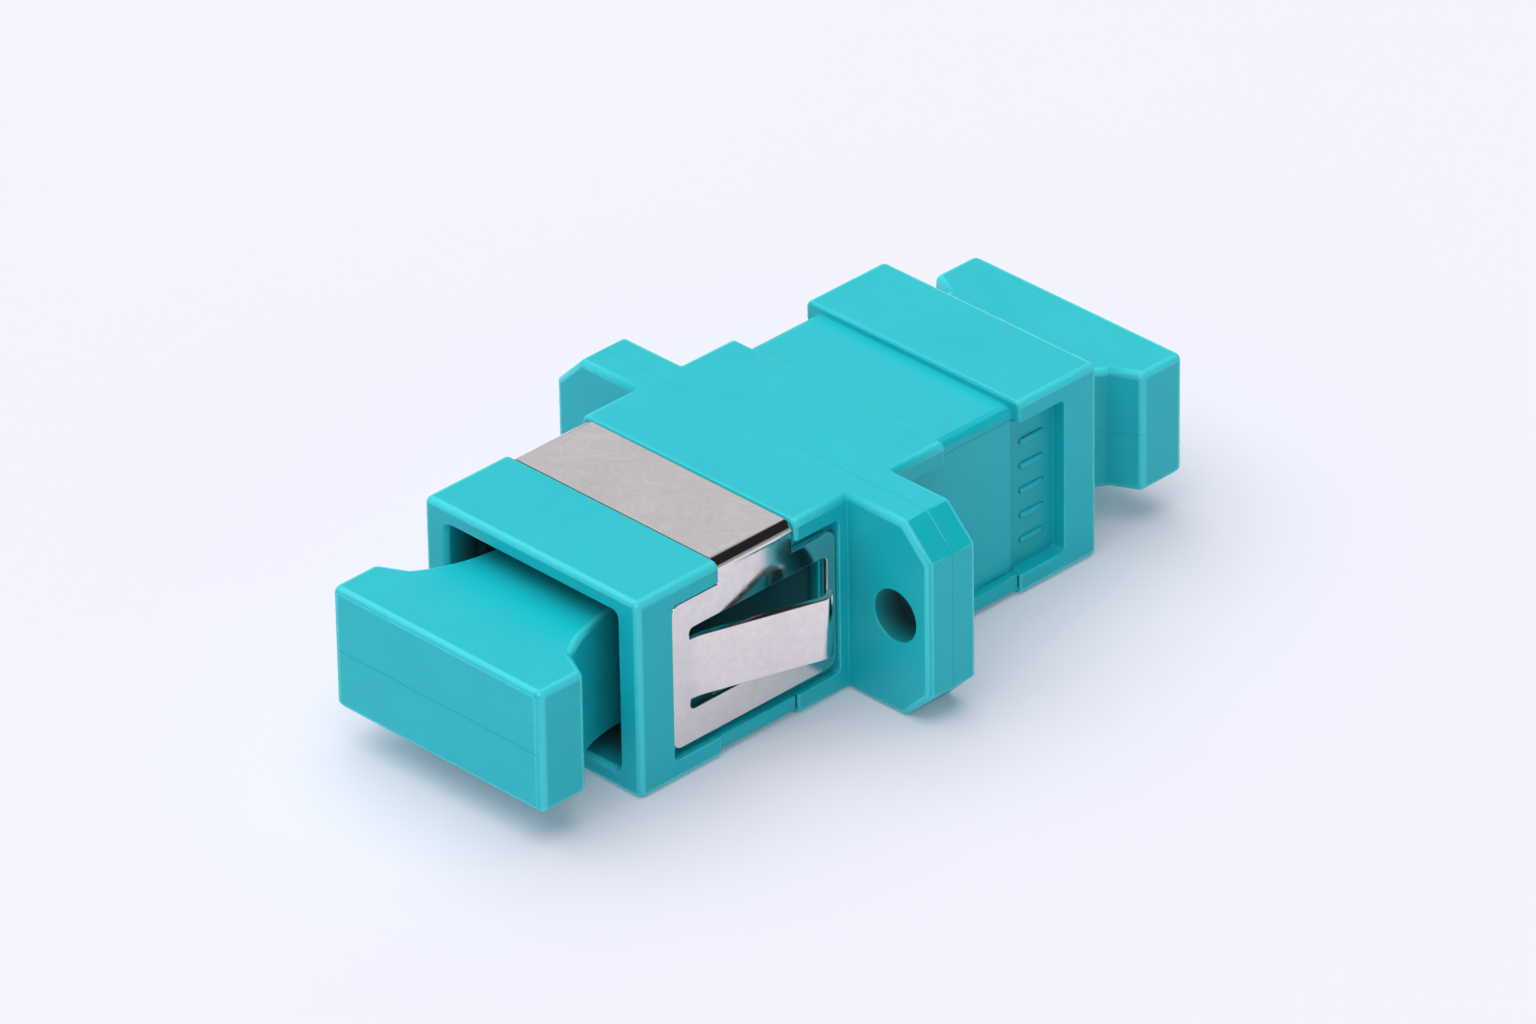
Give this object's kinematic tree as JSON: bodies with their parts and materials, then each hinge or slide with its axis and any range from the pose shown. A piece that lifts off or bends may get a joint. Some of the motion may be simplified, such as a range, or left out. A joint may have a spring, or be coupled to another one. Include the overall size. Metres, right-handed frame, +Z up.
{
  "type": "sc simplex fibre optic adapter",
  "caption": "Rectangular fibre coupler with a flanged middle, a port at each end, a sprung metal panel clip and push-in dust caps.",
  "frame": {"origin": "on the surface the adapter lies on, under the middle of the weld plane between its two halves", "axes": "+X across the flange from hole to hole, +Y along the plug axis from the clip's side to the plain side, +Z up"},
  "size_m": [0.022, 0.038, 0.0094],
  "materials": {
    "housing_plastic": "aqua moulded plastic, satin gloss",
    "cap_plastic": "aqua moulded soft plastic, satin",
    "insert_plastic": "natural off-white engineering plastic",
    "clip_steel": "bright rolled stainless spring sheet",
    "sleeve_ceramic": "polished white zirconia"
  },
  "bodies": {
    "adapter": {"front_housing": "housing_plastic", "rear_housing": "housing_plastic", "panel_clip": "clip_steel", "front_latch_insert": "insert_plastic", "rear_latch_insert": "insert_plastic", "alignment_sleeve": "sleeve_ceramic"},
    "front_cap": {"front_dust_cap": "cap_plastic"},
    "rear_cap": {"rear_dust_cap": "cap_plastic"}
  },
  "joints": [
    {"name": "front_cap_pull", "type": "slide", "parent": "adapter", "child": "front_cap", "axis": [0, -1, 0], "range_m": [0, 0.02]},
    {"name": "rear_cap_pull", "type": "slide", "parent": "adapter", "child": "rear_cap", "axis": [0, 1, 0], "range_m": [0, 0.02]}
  ]
}
